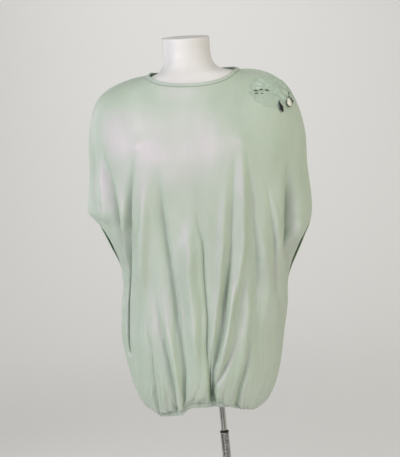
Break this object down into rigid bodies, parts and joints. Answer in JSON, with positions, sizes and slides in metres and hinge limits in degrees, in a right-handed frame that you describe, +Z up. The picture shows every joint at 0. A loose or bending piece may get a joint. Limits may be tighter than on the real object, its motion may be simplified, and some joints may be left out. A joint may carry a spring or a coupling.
{
  "type": "tunic top on a dress form",
  "caption": "Loose jersey tunic top with cap sleeves, a gathered bubble hem and a beaded lace shoulder, worn by a limbless dress form on a telescopic pole.",
  "frame": {"origin": "centre of the round base's underside, where the stand rests on the floor", "axes": "+Z up along the pole, -Y out of the garment's front, +X towards the wearer's left shoulder, which has the lace"},
  "size_m": [0.5432, 0.3, 1.5108],
  "materials": {
    "jersey": "fine pale sage-green viscose jersey with a soft sheen",
    "band_jersey": "the same jersey, folded double and a little lighter",
    "lace": "crocheted cotton lace, dyed to match",
    "white_bead": "cream shell bead",
    "dark_bead": "polished black drop",
    "form_shell": "gloss white moulded shell",
    "chrome": "chromed steel",
    "black_plastic": "black moulded collar"
  },
  "bodies": {
    "stand": {"base": "chrome", "outer_tube": "chrome", "collar": "black_plastic"},
    "pole": {"inner_tube": "chrome"},
    "form": {"form_torso": "form_shell", "form_plate": "form_shell", "pole_socket": "chrome", "front_panel": "jersey", "back_panel": "jersey", "neckband": "band_jersey", "hem_band": "band_jersey", "shoulder_lace": "lace", "white_bead": "white_bead", "dark_bead": "dark_bead"}
  },
  "joints": [
    {"name": "height_slide", "type": "slide", "parent": "stand", "child": "pole", "axis": [0, 0, 1], "range_m": [-0.09, 0.25]},
    {"name": "form_swivel", "type": "hinge", "parent": "pole", "child": "form", "pos_m": [0, 0, 0.76], "axis": [0, 0, 1], "continuous": true}
  ]
}
